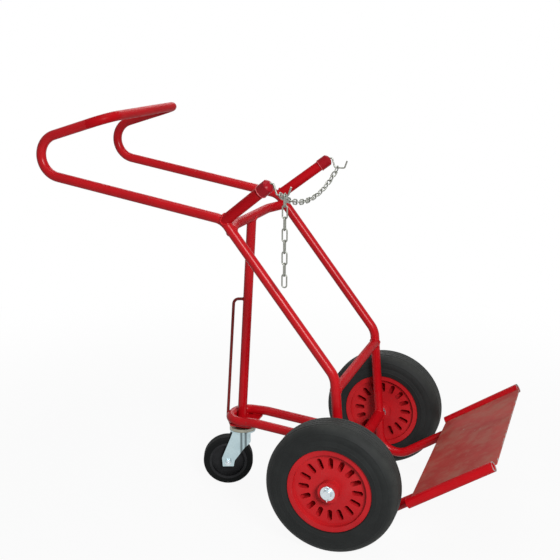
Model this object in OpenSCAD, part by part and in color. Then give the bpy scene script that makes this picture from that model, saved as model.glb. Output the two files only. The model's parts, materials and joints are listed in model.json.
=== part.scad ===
// Gas cylinder trolley for two bottles, standing reclined on two wheels and a caster.
// Millimetres, +X towards the toe plate, +Z up, origin on the floor below the middle of the outline.

/* [Tubes] */
// Radius of the rail, handle and crossbar tubes
tube_r = 12.5; // [11.5:0.5:13.5]
// Wall of every frame tube
tube_wall = 2; // [1.5:0.25:3]
// Half distance between the two rails
rail_y = 210; // [202:1:214]

/* [Rails] */
// Forward place of the rail knee, measured from the axle
knee_x = -20.5; // [-26:0.5:-15]
// Height of the rail knee
knee_z = 414; // [400:1:430]
// Recline of the rails from upright
recline = 37.9; // [36:0.1:40]
// Length of the reclined part of a rail
rail_len = 469; // [450:1:490]
// Bend radius at the top of a rail
crown_bend = 50; // [40:1:54]
// Bend radius at the knee
knee_bend = 60; // [45:1:64]
// Bend radius where a rail turns under the toe plate
foot_bend = 55; // [48:1:60]

/* [Handle] */
// Rise of the lower grip towards the rear
grip_rise = 10.1; // [8:0.1:12]
// Length of the lower grip up to the loop
grip_len = 458; // [430:1:480]
// Bend radius of the rear loop
loop_r = 55; // [50:1:60]
// Turn of the rear loop
loop_turn = 152.2; // [148:0.1:156]
// Length of the upper grip from the loop to the handle bar
upper_len = 163; // [140:1:190]
// Bend radius at the ends of the handle bar
bar_bend = 50; // [40:1:60]

/* [Crossbars] */
// Drop of the upper cradle along the rails
cradle_drop = 35; // [34:1:45]
// Rearward bow of the upper cradle
cradle_bow = 24; // [18:1:30]
// Height of the lower crossbar
lower_bar_z = 380; // [360:1:382]

/* [Toe plate] */
// Forward place of the front end of the toe tubes, measured from the axle
toe_x = 378; // [370:1:400]
// Height of the front end of the toe tubes
toe_z = 268; // [255:1:280]
// Slope of the toe plate
toe_slope = 32.5; // [31:0.1:34]
// Length of the toe plate along its slope
toe_len = 232; // [215:1:234]
// Half distance between the toe tubes
toe_y = 276; // [268:1:284]
// Rise of the plate's upper face above the middle of the toe tubes
plate_lift = 1; // [0.5:0.5:3]
// Thickness of the toe plate
plate_t = 4; // [3:0.5:5]
// Setback of the rail feet from the front edge
foot_back = 45; // [35:1:70]

/* [Arms and chain] */
// Radius of the arm tubes
arm_r = 14; // [13:0.5:15]
// Length of an arm tube
arm_len = 165; // [155:1:175]
// Outward splay of the arms
arm_splay = 15; // [13:0.5:17]
// Length of the sleeve of an arm cap
cap_len = 24; // [18:1:30]
// Radius of the chain hook rod
hook_r = 2.25; // [2:0.05:2.6]
// Wire diameter of a chain link
wire_d = 3.6; // [3:0.1:4]
// Inner length of a chain link
link_len = 28; // [26:0.5:30]
// Inner width of a chain link
link_w = 8; // [7.6:0.2:9]
// Links in the free tail
tail_links = 8; // [4:1:9]

/* [Wheels] */
// Radius of the main wheels
wheel_r = 165; // [160:1:168]
// Half distance between the wheel middle planes
wheel_y = 280; // [279:1:286]
// Greatest width of a tyre
tyre_w = 92; // [84:1:92]
// Radius of the rim flange
rim_r = 105; // [98:1:110]
// Width over the rim flanges
rim_w = 80; // [70:1:82]
// Pockets around each side of a rim
pockets = 16; // [12:1:18]
// Radius of the wheel axle
axle_r = 10; // [8:0.5:11]
// Radius of the axle tube
axle_tube_r = 15; // [14:0.5:17]

/* [Rear leg and caster] */
// Forward place of the caster swivel, measured from the axle
caster_x = -338; // [-350:1:-330]
// Half distance between the legs of the caster loop
loop_leg_y = 49; // [46:1:56]
// Height of the level end of the caster loop
loop_z = 198; // [196:1:206]
// Radius of the hose rod
rod_r = 4; // [3:0.5:5]
// Height of the hose rod's bend
rod_z = 527; // [480:1:560]
// Distance of the hose rod behind the strut
rod_off = 40; // [36:1:46]
// Radius of the caster wheel
caster_r = 68.5; // [64:0.5:70]
// Width of the caster tyre
caster_w = 40; // [34:1:42]
// Distance of the caster wheel behind its swivel
trail = 40; // [36:1:44]
// Turn of the caster at rest
caster_turn = 20; // [0:1:40]
// Radius of the caster stem
stem_r = 6; // [5:0.5:7]
// Radius of the caster axle bolt
bolt_r = 5; // [4:0.5:5.5]

/* [Clearances] */
// Radial clearance of a running fit
run_gap = 0.05; // [0.02:0.01:0.1]
// Radial clearance of a fixed rod in its hole
hole_gap = 0.2; // [0.1:0.05:0.4]
// Distance between pieces that move past each other
move_gap = 0.4; // [0.3:0.05:0.6]
// Gap of a coped tube end at its weld
weld_gap = 0.1; // [0.05:0.01:0.2]
// Thinning of a tube in its bends
bend_draw = 0.05; // [0.04:0.01:0.1]

/* [Hidden] */
$fn = 96;

// Vector helpers
function unit(v) = v / norm(v);
function lerp(p, q, t) = p + (q - p) * t;
function meet(p, u, q, v) =
  p + u * (((q[0] - p[0]) * v[1] - (q[1] - p[1]) * v[0]) / (u[0] * v[1] - u[1] * v[0]));

// Side view of a rail and a handle, as [x, z]
axle_z = wheel_r;
knee = [knee_x, knee_z];
rail_dir = [-sin(recline), cos(recline)];
crown = knee + rail_len * rail_dir;
grip_dir = [-cos(grip_rise), sin(grip_rise)];
upper_angle = 180 - grip_rise - loop_turn;
upper_dir = [cos(upper_angle), sin(upper_angle)];
loop_trim = loop_r * tan(loop_turn / 2);
loop_tip = crown + (grip_len + loop_trim) * grip_dir;
bar_corner = loop_tip + (loop_trim + upper_len) * upper_dir;
bar_stub = bar_bend + 10;
seam = 60;
lap = 0.5;
toe_dir = [cos(toe_slope), sin(toe_slope)];
toe_normal = [-sin(toe_slope), cos(toe_slope)];
foot_drop = plate_t + tube_r - plate_lift;
plate_front = 5;
plate_back = 2;
foot_tip = [toe_x, toe_z] - foot_drop * toe_normal - foot_back * toe_dir;
leg_dir = unit([0, axle_z] - knee);
foot_corner = meet(knee, leg_dir, foot_tip, toe_dir);

// Shift that brings the middle of the outline over the origin
front_x = toe_x + tube_r * sin(toe_slope);
loop_mid = crown + grip_len * grip_dir + loop_r * [sin(grip_rise), cos(grip_rise)];
rear_x = loop_mid[0] - loop_r - tube_r;
shift_x = -(front_x + rear_x) / 2;

// Crossbars, strut and caster loop
cradle_at = crown - cradle_drop * rail_dir;
cradle_mid_x = cradle_at[0] - cradle_bow;
cradle_flat = 0.6 * rail_y;
lower_bar_x = knee_x + (knee_z - lower_bar_z) * leg_dir[0] / -leg_dir[1];
loop_back = 28.5;
loop_fore = 53;
loop_end_x = caster_x - loop_back;
loop_level_x = caster_x + loop_fore;
loop_straight = 8;
loop_corner = loop_leg_y - loop_straight;
loop_level_bend = 120;
cradle_bend = 80;
pad_nose_x = 8;
pad_nose_y = 18;
pad_back_x = 10;
pad_fore_x = 42;
strut_back = 2;
plate_top = loop_z - tube_r;
caster_plate_t = 5;
boss_r = 20;
head_over = 30;
head_top = caster_r * 2 + head_over;
head_r = 36;
head_t = 3;
ball_r = 2.5;
ball_ring_r = 24;
crown_top = head_top - head_t - 2 * ball_r - 2 * move_gap;
crown_t = 4;

// Arms, caps and hooks
arm_drop = 4;
arm_foot = crown - arm_drop * rail_dir;
cap_wall = 2.4;
cap_r = arm_r + cap_wall;
cap_end = 3;
cap_dome = 8;
cap_sphere = (cap_r * cap_r + cap_dome * cap_dome) / (2 * cap_dome);
arm_across = cos(arm_splay) * [cos(recline), sin(recline)];
hook_seat = 4;
hook_rise = 5;
hook_root = arm_len + hook_seat;
hook_x = arm_foot[0] + hook_root * arm_across[0];
hook_top = arm_foot[1] + hook_root * arm_across[1] + hook_rise;
hook_y = rail_y + hook_root * sin(arm_splay);
hook_dip = 26;
hook_z = hook_top - hook_dip;
hook_run = 12;
hook_fall = 20;
hook_bed = 48;
hook_end = 55;
hook_lip = -6;
hook_bend = 5;
sling_run = 28;
tail_run = 40;
sling_x = hook_x + sling_run;
tail_x = hook_x + tail_run;

// Chain layout
link_pitch = link_len - move_gap;
end_reach = link_len / 2 - hook_r - move_gap;
sling_span = 2 * hook_y;
sling_slack = 1.015;
sling_links = 2 * ceil((sling_span * sling_slack / link_pitch - 1) / 2) + 1;
function reach(k) = (k == 0 || k == sling_links - 1) ? end_reach + link_pitch / 2 : link_pitch;
function droop(k, a) = a * (1 - 2 * k / (sling_links - 1));
function run(a, k = 0) = k == sling_links ? 0 : reach(k) * cos(droop(k, a)) + run(a, k + 1);
function fit_droop(lo, hi, i) = i == 0 ? (lo + hi) / 2
  : run((lo + hi) / 2) > sling_span ? fit_droop((lo + hi) / 2, hi, i - 1)
  : fit_droop(lo, (lo + hi) / 2, i - 1);
sling_droop = fit_droop(0, 80, 40);
function link_dir(k) = [0, cos(droop(k, sling_droop)), -sin(droop(k, sling_droop))];
function knot(k) = k == 0 ? [sling_x, -hook_y, hook_z] : knot(k - 1) + reach(k - 1) * link_dir(k - 1);

// Wheel parts
tread_round = 30;
tread_half = 15;
bead_h = 7;
barrel_t = 6;
bead_r = rim_r - bead_h;
barrel_r = bead_r - barrel_t;
flange_t = 4;
web_inset = 12;
pocket_w = 12;
pocket_floor = 4;
pocket_near = barrel_r - 33;
pocket_far = barrel_r - 17;
hub_r = 26;
hub_over = 3;
hub_half = tyre_w / 2 + hub_over;
bush_t = 4;
bush_r = axle_r + bush_t;
bush_len = 30;
spacer_t = 6;
spacer_r = axle_r + spacer_t;
spacer_start = rail_y + tube_r + weld_gap;
hub_in = wheel_y - hub_half;
hub_out = wheel_y + hub_half;
washer_t = 3;
washer_r = axle_r + 8;
pin_r = 1.6;
pin_gap = 0.15;
pin_eye_r = 4;
pin_tail = 9;
pin_neck = 2;
pin_inset = 6;
pin_y = hub_out + move_gap + washer_t + pin_eye_r;
axle_half = pin_y + pin_inset;

// Caster parts
ball_count = 14;
head_rim = 4;
stem_tail = 14;
nut_r = 1.8 * stem_r;
nut_h = 9;
caster_shoulder = 8;
caster_felly = 7;
caster_web = 8;
caster_sleeve = 9;
caster_hub_over = 2.5;
caster_hub_r = caster_r - 2 * caster_shoulder;
caster_hub_half = caster_w / 2 + caster_hub_over;
caster_bush_t = 2.5;
caster_bush_r = bolt_r + caster_bush_t;
fork_gap = 0.5;
fork_in = caster_hub_half + fork_gap;
fork_t = 3.5;
fork_nose = -4;
fork_back = 26;
fork_brow = 36;
fork_throat = 9;
fork_rise = 41;
fork_foot = 15;
fork_low = 13;
bolt_hex = 1.75 * bolt_r;
bolt_head_h = 6;
bolt_nut_h = 8;
bolt_tail = 13;

// Path of a rail, of a handle and of the loops, as 3-D points
function at(p, y) = [p[0], y, p[1]];
function rail_path(y) = [at(crown + seam * grip_dir, y), at(crown, y), at(knee, y), at(foot_corner, y),
  at(foot_tip, y)];
rail_bends = [0, crown_bend, knee_bend, foot_bend, 0];
function handle_path(y) = [at(crown + seam * grip_dir, y), at(loop_tip, y),
  at(bar_corner - bar_stub * upper_dir, y)];
handle_bends = [0, loop_r, 0];
bar_path = [at(bar_corner - bar_stub * upper_dir, -rail_y), at(bar_corner, -rail_y),
  at(bar_corner, rail_y), at(bar_corner - bar_stub * upper_dir, rail_y)];
bar_bends = [0, bar_bend, bar_bend, 0];
cradle_path = [at(cradle_at, -rail_y), [cradle_mid_x, -cradle_flat, cradle_at[1]],
  [cradle_mid_x, cradle_flat, cradle_at[1]], at(cradle_at, rail_y)];
cradle_bends = [0, cradle_bend, cradle_bend, 0];
loop_path = [[0, -loop_leg_y, axle_z], [loop_level_x, -loop_leg_y, loop_z],
  [loop_end_x, -loop_leg_y, loop_z], [loop_end_x, loop_leg_y, loop_z],
  [loop_level_x, loop_leg_y, loop_z], [0, loop_leg_y, axle_z]];
loop_bends = [0, loop_level_bend, loop_corner, loop_corner, loop_level_bend, 0];
strut_foot = [caster_x - strut_back, 0, plate_top];
strut_head = [cradle_mid_x, 0, cradle_at[1]];
rod_rise = 4;
rod_land = 1;
rod_bend = 16;
strut_at_rod = lerp(strut_foot, strut_head, (rod_z + rod_rise - plate_top) / (cradle_at[1] - plate_top));
rod_path = [[loop_end_x - tube_r - rod_r + rod_land, 0, loop_z - tube_r],
  [strut_at_rod[0] - rod_off, 0, rod_z], strut_at_rod];
rod_bends = [0, rod_bend, 0];
function hook_path(y) = [[hook_x, y, hook_top], [hook_x + hook_run, y, hook_top],
  [hook_x + hook_fall, y, hook_z], [hook_x + hook_bed, y, hook_z],
  [hook_x + hook_end, y, hook_top + hook_lip]];
hook_bends = [0, hook_bend, hook_bend, hook_bend, 0];

// Shared drawing modules
module put() translate([shift_x, 0, 0]) children();

module red_paint() color([0.72, 0.08, 0.1]) children();

module zinc() color([0.75, 0.77, 0.8]) children();

module black_rubber() color([0.1, 0.1, 0.11]) children();

// Frame with its X, Y and Z along three given directions
module lay(p, x, y, z)
  multmatrix([[x[0], y[0], z[0], p[0]], [x[1], y[1], z[1], p[1]], [x[2], y[2], z[2], p[2]], [0, 0, 0, 1]])
    children();

module along(p, d) {
  z = unit(d);
  x = unit(abs(z[1]) < 0.9 ? cross([0, 1, 0], z) : cross([1, 0, 0], z));
  lay(p, x, cross(z, x), z) children();
}

module rod_between(p, q, r) along(p, q - p) cylinder(r = r, h = norm(q - p));

function heading(path, i) = unit(path[i + 1] - path[i]);
function trim(path, bends, i) = (i == 0 || i == len(path) - 1) ? 0
  : bends[i] * tan(acos(heading(path, i - 1) * heading(path, i)) / 2);

function square_to(v, u) = unit(v - (u * v) * u);
function inward(path, i) = square_to(heading(path, i + 1), heading(path, i));

// One straight run in a frame whose Z is its heading and whose X is w, then the bend and the next run
module bent_run(path, bends, r, i, w) {
  straight = norm(path[i + 1] - path[i]) - trim(path, bends, i) - trim(path, bends, i + 1);
  first = i == 0 ? 0 : lap;
  last = i == len(path) - 2 ? 0 : lap;
  translate([0, 0, -first]) cylinder(r = r, h = straight + first + last);
  if (i < len(path) - 2) {
    u = heading(path, i);
    n = inward(path, i);
    turn = acos(u * heading(path, i + 1));
    bend = bends[i + 1];
    translate([0, 0, straight]) rotate([0, 0, atan2(n * cross(u, w), n * w)]) {
      translate([bend, 0, 0]) rotate([90, 0, 180])
        rotate_extrude(angle = turn) translate([bend, 0]) circle(r = r - bend_draw);
      translate([bend, 0, 0]) rotate([0, turn, 0]) translate([-bend, 0, 0])
        bent_run(path, bends, r, i + 1, n * cos(turn) - u * sin(turn));
    }
  }
}

module bent_rod(path, bends, r) {
  u = heading(path, 0);
  w = inward(path, 0);
  lay(path[0], w, cross(u, w), u) bent_run(path, bends, r, 0, w);
}

function longer(path) = [for (i = [0:len(path) - 1])
  i == 0 ? path[0] - heading(path, 0)
  : i == len(path) - 1 ? path[i] + heading(path, i - 1) : path[i]];

module bent_tube(path, bends, r)
  difference() {
    bent_rod(path, bends, r);
    bent_rod(longer(path), bends, r - tube_wall);
  }

module across(x, z, y0, y1, r) translate([x, y0, z]) rotate([-90, 0, 0]) cylinder(r = r, h = y1 - y0);

module rail_solid(y) bent_rod(rail_path(y), rail_bends, tube_r);

module straight_rail(y) rod_between(at(knee, y), at(crown, y), tube_r + weld_gap);

module rail_leg(y) rod_between(at(knee, y), at(foot_corner, y), tube_r + weld_gap);

// Frame tubes
module rail(y)
  put() red_paint() difference() {
    bent_tube(rail_path(y), rail_bends, tube_r);
    across(0, axle_z, y - 2 * tube_r, y + 2 * tube_r, axle_r + hole_gap);
  }

module left_rail() rail(-rail_y);

module right_rail() rail(rail_y);

module left_handle() put() red_paint() bent_tube(handle_path(-rail_y), handle_bends, tube_r);

module right_handle() put() red_paint() bent_tube(handle_path(rail_y), handle_bends, tube_r);

module handle_bar() put() red_paint() bent_tube(bar_path, bar_bends, tube_r);

module upper_cradle()
  put() red_paint() difference() {
    bent_tube(cradle_path, cradle_bends, tube_r);
    straight_rail(-rail_y);
    straight_rail(rail_y);
  }

module lower_crossbar()
  put() red_paint() difference() {
    across(lower_bar_x, lower_bar_z, -rail_y, rail_y, tube_r);
    across(lower_bar_x, lower_bar_z, -rail_y - 1, rail_y + 1, tube_r - tube_wall);
    rail_leg(-rail_y);
    rail_leg(rail_y);
  }

module rear_strut()
  put() red_paint() difference() {
    rod_between(lerp(strut_foot, strut_head, -0.04), strut_head, tube_r);
    rod_between(lerp(strut_foot, strut_head, -0.05), lerp(strut_foot, strut_head, 1.01), tube_r - tube_wall);
    translate([caster_x - 2 * boss_r, -2 * boss_r, plate_top - 4 * boss_r]) cube(4 * boss_r);
    across(cradle_mid_x, cradle_at[1], -cradle_flat, cradle_flat, tube_r + weld_gap);
  }

module caster_loop()
  put() red_paint() difference() {
    bent_tube(loop_path, loop_bends, tube_r);
    across(0, axle_z, -rail_y, rail_y, axle_tube_r + weld_gap);
  }

module caster_plate()
  put() red_paint() difference() {
    translate([0, 0, plate_top - caster_plate_t]) linear_extrude(height = caster_plate_t)
      polygon([[loop_end_x - pad_nose_x, -pad_nose_y], [loop_end_x + pad_back_x, -loop_leg_y],
        [caster_x + pad_fore_x, -loop_leg_y], [caster_x + pad_fore_x, loop_leg_y],
        [loop_end_x + pad_back_x, loop_leg_y], [loop_end_x - pad_nose_x, pad_nose_y]]);
    translate([caster_x, 0, plate_top - caster_plate_t - 1])
      cylinder(r = stem_r + hole_gap, h = caster_plate_t + 2);
  }

module caster_boss()
  put() red_paint() difference() {
    translate([caster_x, 0, head_top]) cylinder(r = boss_r, h = plate_top - caster_plate_t - head_top);
    translate([caster_x, 0, head_top - 1]) cylinder(r = stem_r + hole_gap, h = plate_top - head_top);
  }

module hose_rod()
  put() red_paint() difference() {
    bent_rod(rod_path, rod_bends, rod_r);
    across(loop_end_x, loop_z, -loop_straight, loop_straight, tube_r + weld_gap);
    rod_between(strut_foot, strut_head, tube_r);
  }

// Toe plate, in a frame whose X runs up its slope
module toe_frame() translate([toe_x, 0, toe_z]) rotate([0, -toe_slope, 0]) children();

module toe_tube(y)
  put() red_paint() toe_frame() translate([-toe_len, y, 0]) rotate([0, 90, 0])
    difference() {
      cylinder(r = tube_r, h = toe_len);
      translate([0, 0, -1]) cylinder(r = tube_r - tube_wall, h = toe_len + 2);
    }

module left_toe_tube() toe_tube(-toe_y);

module right_toe_tube() toe_tube(toe_y);

module toe_plate()
  put() red_paint() toe_frame() difference() {
    translate([plate_back - toe_len, -toe_y, plate_lift - plate_t])
      cube([toe_len - plate_back + plate_front, 2 * toe_y, plate_t]);
    for (y = [-toe_y, toe_y])
      translate([-toe_len - 1, y, 0]) rotate([0, 90, 0])
        cylinder(r = tube_r + weld_gap, h = toe_len + plate_front + 2);
  }

// Arms, caps and chain hooks, s = -1 on the left and 1 on the right
function arm_dir(s) = [arm_across[0], s * sin(arm_splay), arm_across[1]];

module arm(s)
  put() red_paint() difference() {
    along(at(arm_foot, s * rail_y), arm_dir(s)) difference() {
      cylinder(r = arm_r, h = arm_len);
      translate([0, 0, -1]) cylinder(r = arm_r - tube_wall, h = arm_len + 2);
    }
    rail_solid(s * rail_y);
  }

module left_arm() arm(-1);

module right_arm() arm(1);

module arm_cap(s)
  put() color([0.55, 0.06, 0.08]) difference() {
    along(at(arm_foot, s * rail_y), arm_dir(s)) translate([0, 0, arm_len - cap_len]) difference() {
      intersection() {
        cylinder(r = cap_r, h = cap_len + cap_end + cap_dome);
        translate([0, 0, cap_len + cap_end + cap_dome - cap_sphere]) sphere(r = cap_sphere);
      }
      translate([0, 0, -cap_r]) cylinder(r = arm_r + run_gap, h = cap_len + cap_r);
    }
    bent_rod(hook_path(s * hook_y), hook_bends, hook_r);
  }

module left_arm_cap() arm_cap(-1);

module right_arm_cap() arm_cap(1);

module left_chain_hook() put() zinc() bent_rod(hook_path(-hook_y), hook_bends, hook_r);

module right_chain_hook() put() zinc() bent_rod(hook_path(hook_y), hook_bends, hook_r);

// Chain
module chain_link() {
  ring = (link_w + wire_d) / 2;
  half = (link_len - link_w) / 2;
  for (m = [0, 1])
    mirror([m, 0, 0]) translate([half, 0, 0]) rotate([0, 0, -90])
      rotate_extrude(angle = 180) translate([ring, 0]) circle(d = wire_d);
  for (y = [-ring, ring])
    translate([-half, y, 0]) rotate([0, 90, 0]) cylinder(d = wire_d, h = 2 * half);
}

module chain_sling()
  put() zinc() for (k = [0:sling_links - 1]) {
    t = link_dir(k);
    back = k == 0 ? end_reach : link_pitch / 2;
    lay(knot(k) + back * t, t, [0, -t[2], t[1]], [1, 0, 0])
      rotate([k % 2 == 0 ? 0 : 90, 0, 0]) chain_link();
  }

module chain_tail()
  put() zinc() for (k = [0:tail_links - 1])
    translate([tail_x, -hook_y, hook_z - end_reach - k * link_pitch])
      rotate([0, 90, 0]) rotate([k % 2 == 0 ? 90 : 0, 0, 0]) rotate([90, 0, 0]) chain_link();

// Axle and its fittings
module axle_tube()
  put() red_paint() difference() {
    across(0, axle_z, -rail_y, rail_y, axle_tube_r);
    across(0, axle_z, -rail_y - 1, rail_y + 1, axle_r + hole_gap);
    rail_leg(-rail_y);
    rail_leg(rail_y);
  }

module axle()
  put() zinc() difference() {
    across(0, axle_z, -axle_half, axle_half, axle_r);
    for (s = [-1, 1])
      translate([0, s * pin_y, axle_z - 2 * axle_r]) cylinder(r = pin_r + pin_gap, h = 4 * axle_r);
  }

module collar(y0, y1, r)
  difference() {
    across(0, axle_z, y0, y1, r);
    across(0, axle_z, y0 - 1, y1 + 1, axle_r + hole_gap);
  }

module axle_spacers()
  put() zinc() {
    collar(spacer_start, hub_in - move_gap, spacer_r);
    collar(-hub_in + move_gap, -spacer_start, spacer_r);
  }

module axle_washers()
  put() zinc() {
    collar(hub_out + move_gap, hub_out + move_gap + washer_t, washer_r);
    collar(-hub_out - move_gap - washer_t, -hub_out - move_gap, washer_r);
  }

module split_pins()
  put() zinc() for (s = [-1, 1])
    translate([0, s * pin_y, axle_z]) {
      translate([0, 0, -axle_r - pin_tail]) cylinder(r = pin_r, h = 2 * axle_r + pin_tail + pin_neck);
      translate([0, 0, axle_r + pin_neck + pin_eye_r - pin_r / 3]) rotate([90, 0, 0])
        rotate_extrude() translate([pin_eye_r, 0]) circle(r = pin_r);
    }

// Main wheels, s = -1 on the left and 1 on the right
module wheel_frame(s) translate([0, s * wheel_y, axle_z]) rotate([-90 * s, 0, 0]) children();

module tyre_section()
  difference() {
    union() {
      translate([wheel_r - tyre_w / 2, 0]) circle(r = tyre_w / 2);
      for (y = [-tread_half, tread_half])
        translate([wheel_r - tread_round, y]) circle(r = tread_round);
      translate([wheel_r - tread_round - 1, -tread_half]) square([tread_round + 1, 2 * tread_half]);
    }
    translate([0, -tyre_w]) square([bead_r, 2 * tyre_w]);
    for (y = [-rim_w / 2 - tyre_w, rim_w / 2 - flange_t])
      translate([0, y]) square([rim_r, tyre_w + flange_t]);
  }

module tyre(s) put() black_rubber() wheel_frame(s) rotate_extrude() tyre_section();

module left_tyre() tyre(-1);

module right_tyre() tyre(1);

module rim_section() {
  half = rim_w / 2;
  translate([barrel_r, -half]) square([bead_r - barrel_r, rim_w]);
  for (y = [-half, half - flange_t])
    translate([barrel_r, y]) square([rim_r - barrel_r, flange_t]);
  translate([bush_r, -hub_half]) square([hub_r - bush_r, 2 * hub_half]);
  translate([hub_r - 1, web_inset - half]) square([barrel_r - hub_r + 2, rim_w - 2 * web_inset]);
}

// Slot with round ends that leaves the middle of the web standing
module pocket()
  translate([0, 0, pocket_floor]) {
    translate([pocket_near, -pocket_w / 2, 0]) cube([pocket_far - pocket_near, pocket_w, rim_w]);
    for (x = [pocket_near, pocket_far])
      translate([x, 0, 0]) cylinder(r = pocket_w / 2, h = rim_w);
  }

module rim(s)
  put() color([0.7, 0.09, 0.1]) wheel_frame(s) difference() {
    rotate_extrude() rim_section();
    for (a = [0:pockets - 1], m = [0, 1])
      rotate([0, 0, a * 360 / pockets]) mirror([0, 0, m]) pocket();
  }

module left_rim() rim(-1);

module right_rim() rim(1);

module bushes(s)
  put() color([0.2, 0.2, 0.22]) wheel_frame(s) for (z = [-hub_half, hub_half - bush_len])
    translate([0, 0, z]) difference() {
      cylinder(r = bush_r, h = bush_len);
      translate([0, 0, -1]) cylinder(r = axle_r + run_gap, h = bush_len + 2);
    }

module left_bushes() bushes(-1);

module right_bushes() bushes(1);

// Caster, drawn with its wheel trailing towards -X and then turned
module caster_frame() translate([caster_x, 0, 0]) rotate([0, 0, caster_turn]) children();

module caster_stem()
  put() zinc() caster_frame() translate([0, 0, crown_top - crown_t - stem_tail])
    cylinder(r = stem_r, h = plate_top - 1 - crown_top + crown_t + stem_tail);

module caster_head()
  put() zinc() caster_frame() difference() {
    translate([0, 0, crown_top + move_gap]) cylinder(r = head_r, h = head_top - crown_top - move_gap);
    translate([0, 0, crown_top]) cylinder(r = head_r - head_rim, h = head_top - head_t - crown_top);
    translate([0, 0, crown_top]) cylinder(r = stem_r + hole_gap, h = 2 * head_over);
  }

module stem_nut()
  put() zinc() caster_frame() difference() {
    translate([0, 0, crown_top - crown_t - move_gap - nut_h]) cylinder(r = nut_r, h = nut_h, $fn = 6);
    translate([0, 0, crown_top - 2 * head_over]) cylinder(r = stem_r + run_gap, h = 2 * head_over);
  }

module swivel_balls()
  put() zinc() caster_frame() for (a = [0:ball_count - 1])
    rotate([0, 0, a * 360 / ball_count])
      translate([ball_ring_r, 0, crown_top + move_gap + ball_r]) sphere(r = ball_r);

// Plan of the fork, whose front is round and whose rear is open
module fork_plan(r) {
  translate([fork_nose, 0]) circle(r = r);
  translate([-trail - 2 * fork_in, -r]) square([trail + 2 * fork_in + fork_nose, 2 * r]);
}

// Side outline that the legs and the front wall are cut to
module fork_side() {
  low = caster_r - fork_low;
  front = fork_nose + fork_in + 2 * fork_t;
  polygon([[-fork_back, crown_top], [front, crown_top], [front, crown_top - fork_brow],
    [fork_nose + fork_throat, caster_r + fork_rise], [-trail + fork_foot + 3, caster_r + 4],
    [-trail + fork_foot, low], [-trail - fork_foot, low], [-trail - fork_foot - 2, caster_r + fork_low - 1]]);
}

module caster_fork()
  put() zinc() caster_frame() difference() {
    union() {
      translate([0, 0, crown_top - crown_t]) cylinder(r = head_r, h = crown_t);
      intersection() {
        linear_extrude(height = crown_top - 1) difference() {
          fork_plan(fork_in + fork_t);
          fork_plan(fork_in);
        }
        translate([0, 2 * fork_in, 0]) rotate([90, 0, 0]) linear_extrude(height = 4 * fork_in) fork_side();
      }
    }
    translate([0, 0, crown_top - head_over]) cylinder(r = stem_r + run_gap, h = 2 * head_over);
    across(-trail, caster_r, -2 * fork_in, 2 * fork_in, bolt_r + hole_gap);
  }

module caster_axle()
  put() zinc() caster_frame() {
    across(-trail, caster_r, -fork_in - fork_t - bolt_tail, fork_in + fork_t, bolt_r);
    translate([-trail, fork_in + fork_t, caster_r]) rotate([-90, 0, 0])
      cylinder(r = bolt_hex, h = bolt_head_h, $fn = 6);
  }

module caster_axle_nut()
  put() zinc() caster_frame() difference() {
    translate([-trail, -fork_in - fork_t - bolt_nut_h, caster_r]) rotate([-90, 0, 0])
      cylinder(r = bolt_hex, h = bolt_nut_h, $fn = 6);
    across(-trail, caster_r, -3 * fork_in, -fork_in, bolt_r + run_gap);
  }

module caster_wheel_frame() caster_frame() translate([-trail, 0, caster_r]) rotate([-90, 0, 0]) children();

module caster_tyre()
  put() black_rubber() caster_wheel_frame() rotate_extrude() {
    flat = caster_w - 2 * caster_shoulder;
    translate([caster_hub_r, -caster_w / 2]) square([caster_shoulder, caster_w]);
    translate([caster_hub_r, -flat / 2]) square([caster_r - caster_hub_r, flat]);
    for (y = [-flat / 2, flat / 2])
      translate([caster_r - caster_shoulder, y]) circle(r = caster_shoulder);
  }

module caster_hub()
  put() color([0.24, 0.24, 0.26]) caster_wheel_frame() rotate_extrude() {
    translate([caster_hub_r - caster_felly, -caster_w / 2]) square([caster_felly, caster_w]);
    translate([caster_bush_r + 1, -caster_web / 2]) square([caster_hub_r - caster_bush_r - 2, caster_web]);
    translate([caster_bush_r, -caster_hub_half]) square([caster_sleeve, 2 * caster_hub_half]);
  }

module caster_bush()
  put() color([0.85, 0.85, 0.82]) caster_wheel_frame() difference() {
    translate([0, 0, -caster_hub_half]) cylinder(r = caster_bush_r, h = 2 * caster_hub_half);
    translate([0, 0, -caster_hub_half - 1]) cylinder(r = bolt_r + run_gap, h = 2 * caster_hub_half + 2);
  }

// Assembly
left_rail();
right_rail();
left_handle();
right_handle();
handle_bar();
upper_cradle();
lower_crossbar();
rear_strut();
caster_loop();
caster_plate();
caster_boss();
hose_rod();
toe_plate();
left_toe_tube();
right_toe_tube();
left_arm();
right_arm();
left_arm_cap();
right_arm_cap();
left_chain_hook();
right_chain_hook();
axle_tube();
axle();
axle_spacers();
axle_washers();
split_pins();
left_tyre();
left_rim();
left_bushes();
right_tyre();
right_rim();
right_bushes();
caster_stem();
caster_head();
stem_nut();
caster_fork();
swivel_balls();
caster_axle();
caster_axle_nut();
caster_tyre();
caster_hub();
caster_bush();
chain_sling();
chain_tail();
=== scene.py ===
"""Looks of a reclined gas cylinder trolley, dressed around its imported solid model."""

import json
import logging
import math
from dataclasses import dataclass
from enum import Enum
from typing import Any

import bpy
import numpy as np
from mathutils import Matrix, Vector

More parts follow.
